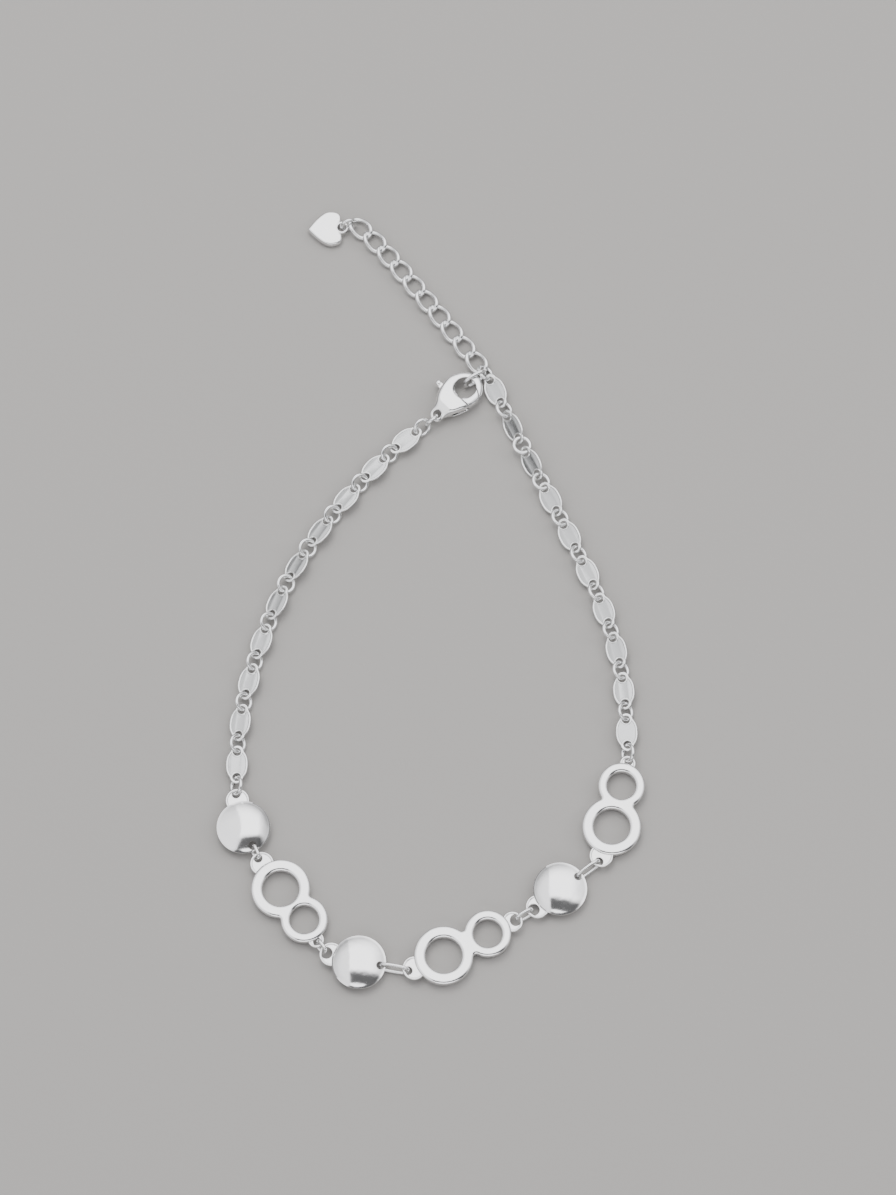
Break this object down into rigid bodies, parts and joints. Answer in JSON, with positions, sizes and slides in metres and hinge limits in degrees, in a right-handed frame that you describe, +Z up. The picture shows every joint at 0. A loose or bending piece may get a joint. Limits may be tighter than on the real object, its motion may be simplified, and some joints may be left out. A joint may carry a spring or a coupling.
{
  "type": "payal anklet",
  "caption": "Silver-plated payal anklet of leaf links and wire rings with domed discs and double rings, a lobster clasp, and a curb extension ending in a heart tag.",
  "frame": {"origin": "middle of the anklet's outline, at the height of the surface it lies on", "axes": "+Y along the anklet's length towards the clasp and extension, +X to the right as it lies, +Z up from the surface"},
  "size_m": [0.0674, 0.13, 0.003],
  "materials": {
    "polished_casting": "mirror-polished silver plate on cast links, clasp and tag",
    "polished_wire": "polished silver plate on drawn wire",
    "satin_leaf": "satin silver plate on stamped leaves"
  },
  "bodies": {
    "anklet": {"clasp_body": "polished_casting", "clasp_ring": "polished_wire", "connector_1": "polished_wire", "connector_2": "polished_wire", "connector_3": "polished_wire", "connector_4": "polished_wire", "connector_5": "polished_wire", "disc_1": "polished_casting", "disc_2": "polished_casting", "disc_3": "polished_casting", "double_ring_1": "polished_casting", "double_ring_2": "polished_casting", "double_ring_3": "polished_casting", "end_ring": "polished_wire", "extension_chain": "polished_wire", "fastening_link": "polished_wire", "heart_tag": "polished_casting", "left_leaf_1": "satin_leaf", "left_leaf_10": "satin_leaf", "left_leaf_2": "satin_leaf", "left_leaf_3": "satin_leaf", "left_leaf_4": "satin_leaf", "left_leaf_5": "satin_leaf", "left_leaf_6": "satin_leaf", "left_leaf_7": "satin_leaf", "left_leaf_8": "satin_leaf", "left_leaf_9": "satin_leaf", "left_ring_1": "polished_wire", "left_ring_10": "polished_wire", "left_ring_11": "polished_wire", "left_ring_2": "polished_wire", "left_ring_3": "polished_wire", "left_ring_4": "polished_wire", "left_ring_5": "polished_wire", "left_ring_6": "polished_wire", "left_ring_7": "polished_wire", "left_ring_8": "polished_wire", "left_ring_9": "polished_wire", "right_leaf_1": "satin_leaf", "right_leaf_10": "satin_leaf", "right_leaf_2": "satin_leaf", "right_leaf_3": "satin_leaf", "right_leaf_4": "satin_leaf", "right_leaf_5": "satin_leaf", "right_leaf_6": "satin_leaf", "right_leaf_7": "satin_leaf", "right_leaf_8": "satin_leaf", "right_leaf_9": "satin_leaf", "right_ring_1": "polished_wire", "right_ring_10": "polished_wire", "right_ring_2": "polished_wire", "right_ring_3": "polished_wire", "right_ring_4": "polished_wire", "right_ring_5": "polished_wire", "right_ring_6": "polished_wire", "right_ring_7": "polished_wire", "right_ring_8": "polished_wire", "right_ring_9": "polished_wire", "tag_ring": "polished_wire"},
    "lever": {"clasp_lever": "polished_casting"}
  },
  "joints": [
    {"name": "lever_pivot", "type": "hinge", "parent": "anklet", "child": "lever", "pos_m": [0.00334, 0.03187, 0.00152], "axis": [0, 0, 1], "range_deg": [0, 18], "stiffness_Nm_per_rad": 0.01}
  ]
}
